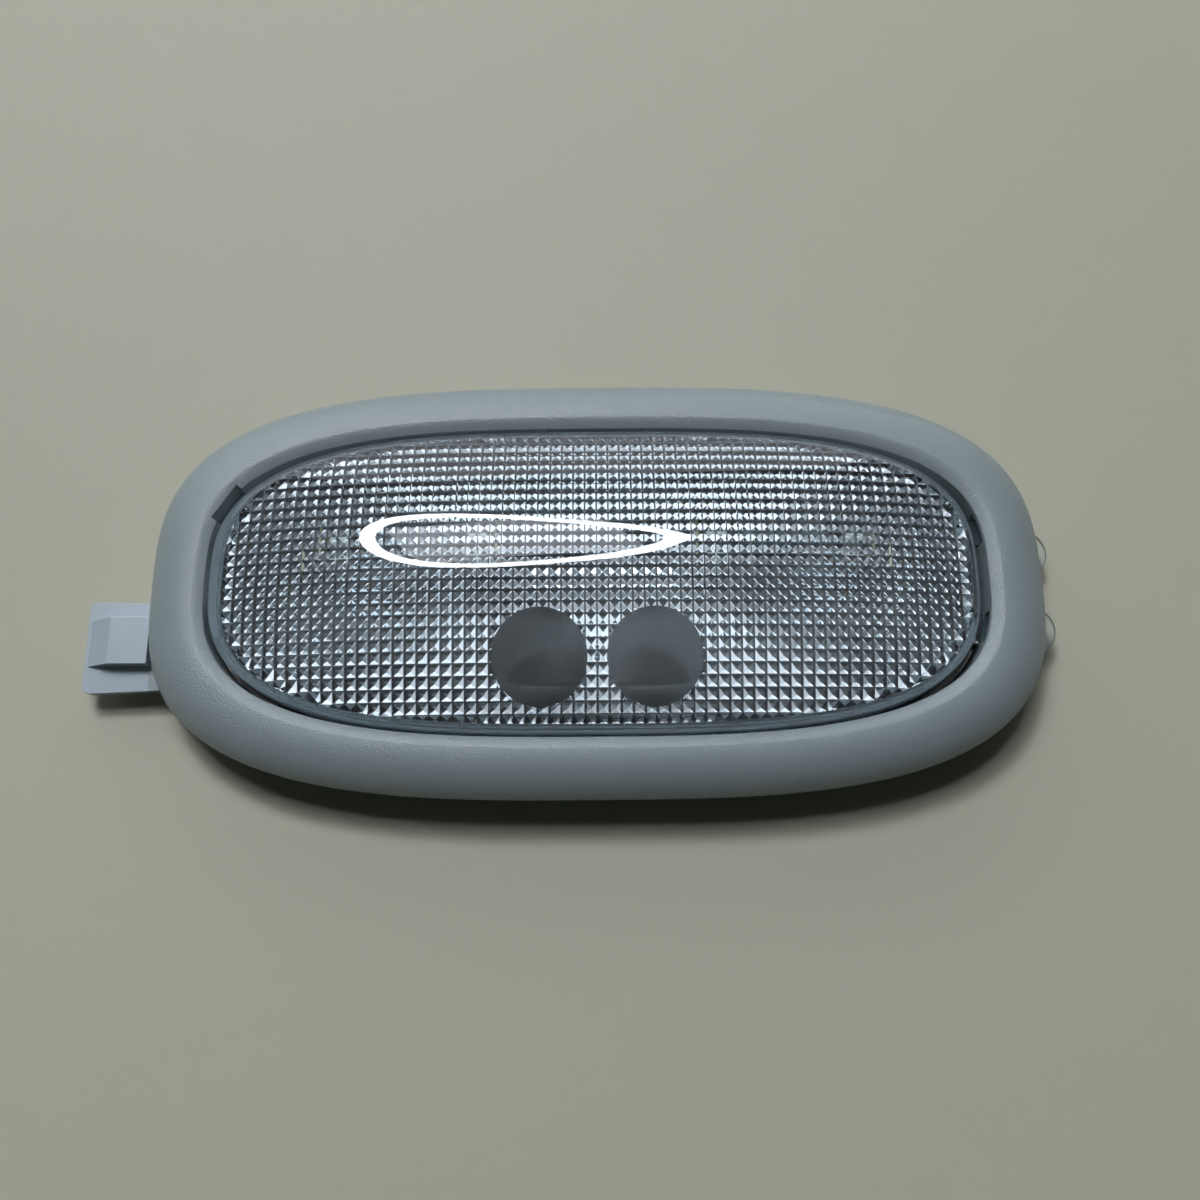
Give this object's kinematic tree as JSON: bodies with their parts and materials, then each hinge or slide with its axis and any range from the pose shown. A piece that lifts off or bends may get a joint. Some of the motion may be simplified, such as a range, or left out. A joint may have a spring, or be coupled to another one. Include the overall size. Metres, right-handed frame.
{
  "type": "car interior dome light",
  "caption": "Oval snap-in overhead lamp: grey moulded bezel, crowned clear prismatic lens that tilts out on hinge arms, clear housing, metallised reflector and festoon bulbs.",
  "frame": {"origin": "centre of the bezel's oval, on the flat back of the housing that the lamp lies on", "axes": "+Z out through the lens, +X along the lamp towards the two clear ears, +Y towards the connector side"},
  "size_m": [0.2135, 0.0942, 0.025],
  "materials": {
    "grey_moulding": "fine moulded grain",
    "clear_lens": "clear, glossy outside",
    "clear_housing": "clear moulded",
    "metallised": "vacuum metallised plastic, smooth",
    "brass_strip": "stamped",
    "spring_brass": "tinned spring brass",
    "bulb_glass": "clear",
    "bulb_cap": "nickel plated",
    "filament": "tungsten",
    "plated_steel": "zinc plated"
  },
  "bodies": {
    "lamp": {"bezel": "grey_moulding", "housing": "clear_housing", "reflector": "metallised", "feed_strip": "brass_strip", "ground_strip": "brass_strip", "contact_rivets": "plated_steel", "clip_left_outer": "spring_brass", "clip_left_inner": "spring_brass", "clip_right_inner": "spring_brass", "clip_right_outer": "spring_brass", "bulb_glass_left": "bulb_glass", "bulb_cap_left_outer": "bulb_cap", "bulb_cap_left_inner": "bulb_cap", "bulb_filament_left": "filament", "bulb_glass_right": "bulb_glass", "bulb_cap_right_inner": "bulb_cap", "bulb_cap_right_outer": "bulb_cap", "bulb_filament_right": "filament", "housing_screws": "plated_steel"},
    "lens_body": {"lens": "clear_lens"}
  },
  "joints": [
    {"name": "lens_hinge", "type": "hinge", "parent": "lamp", "child": "lens_body", "pos_m": [0.0875, 0, 0.0106], "axis": [0, 1, 0], "range_deg": [0, 28]}
  ]
}
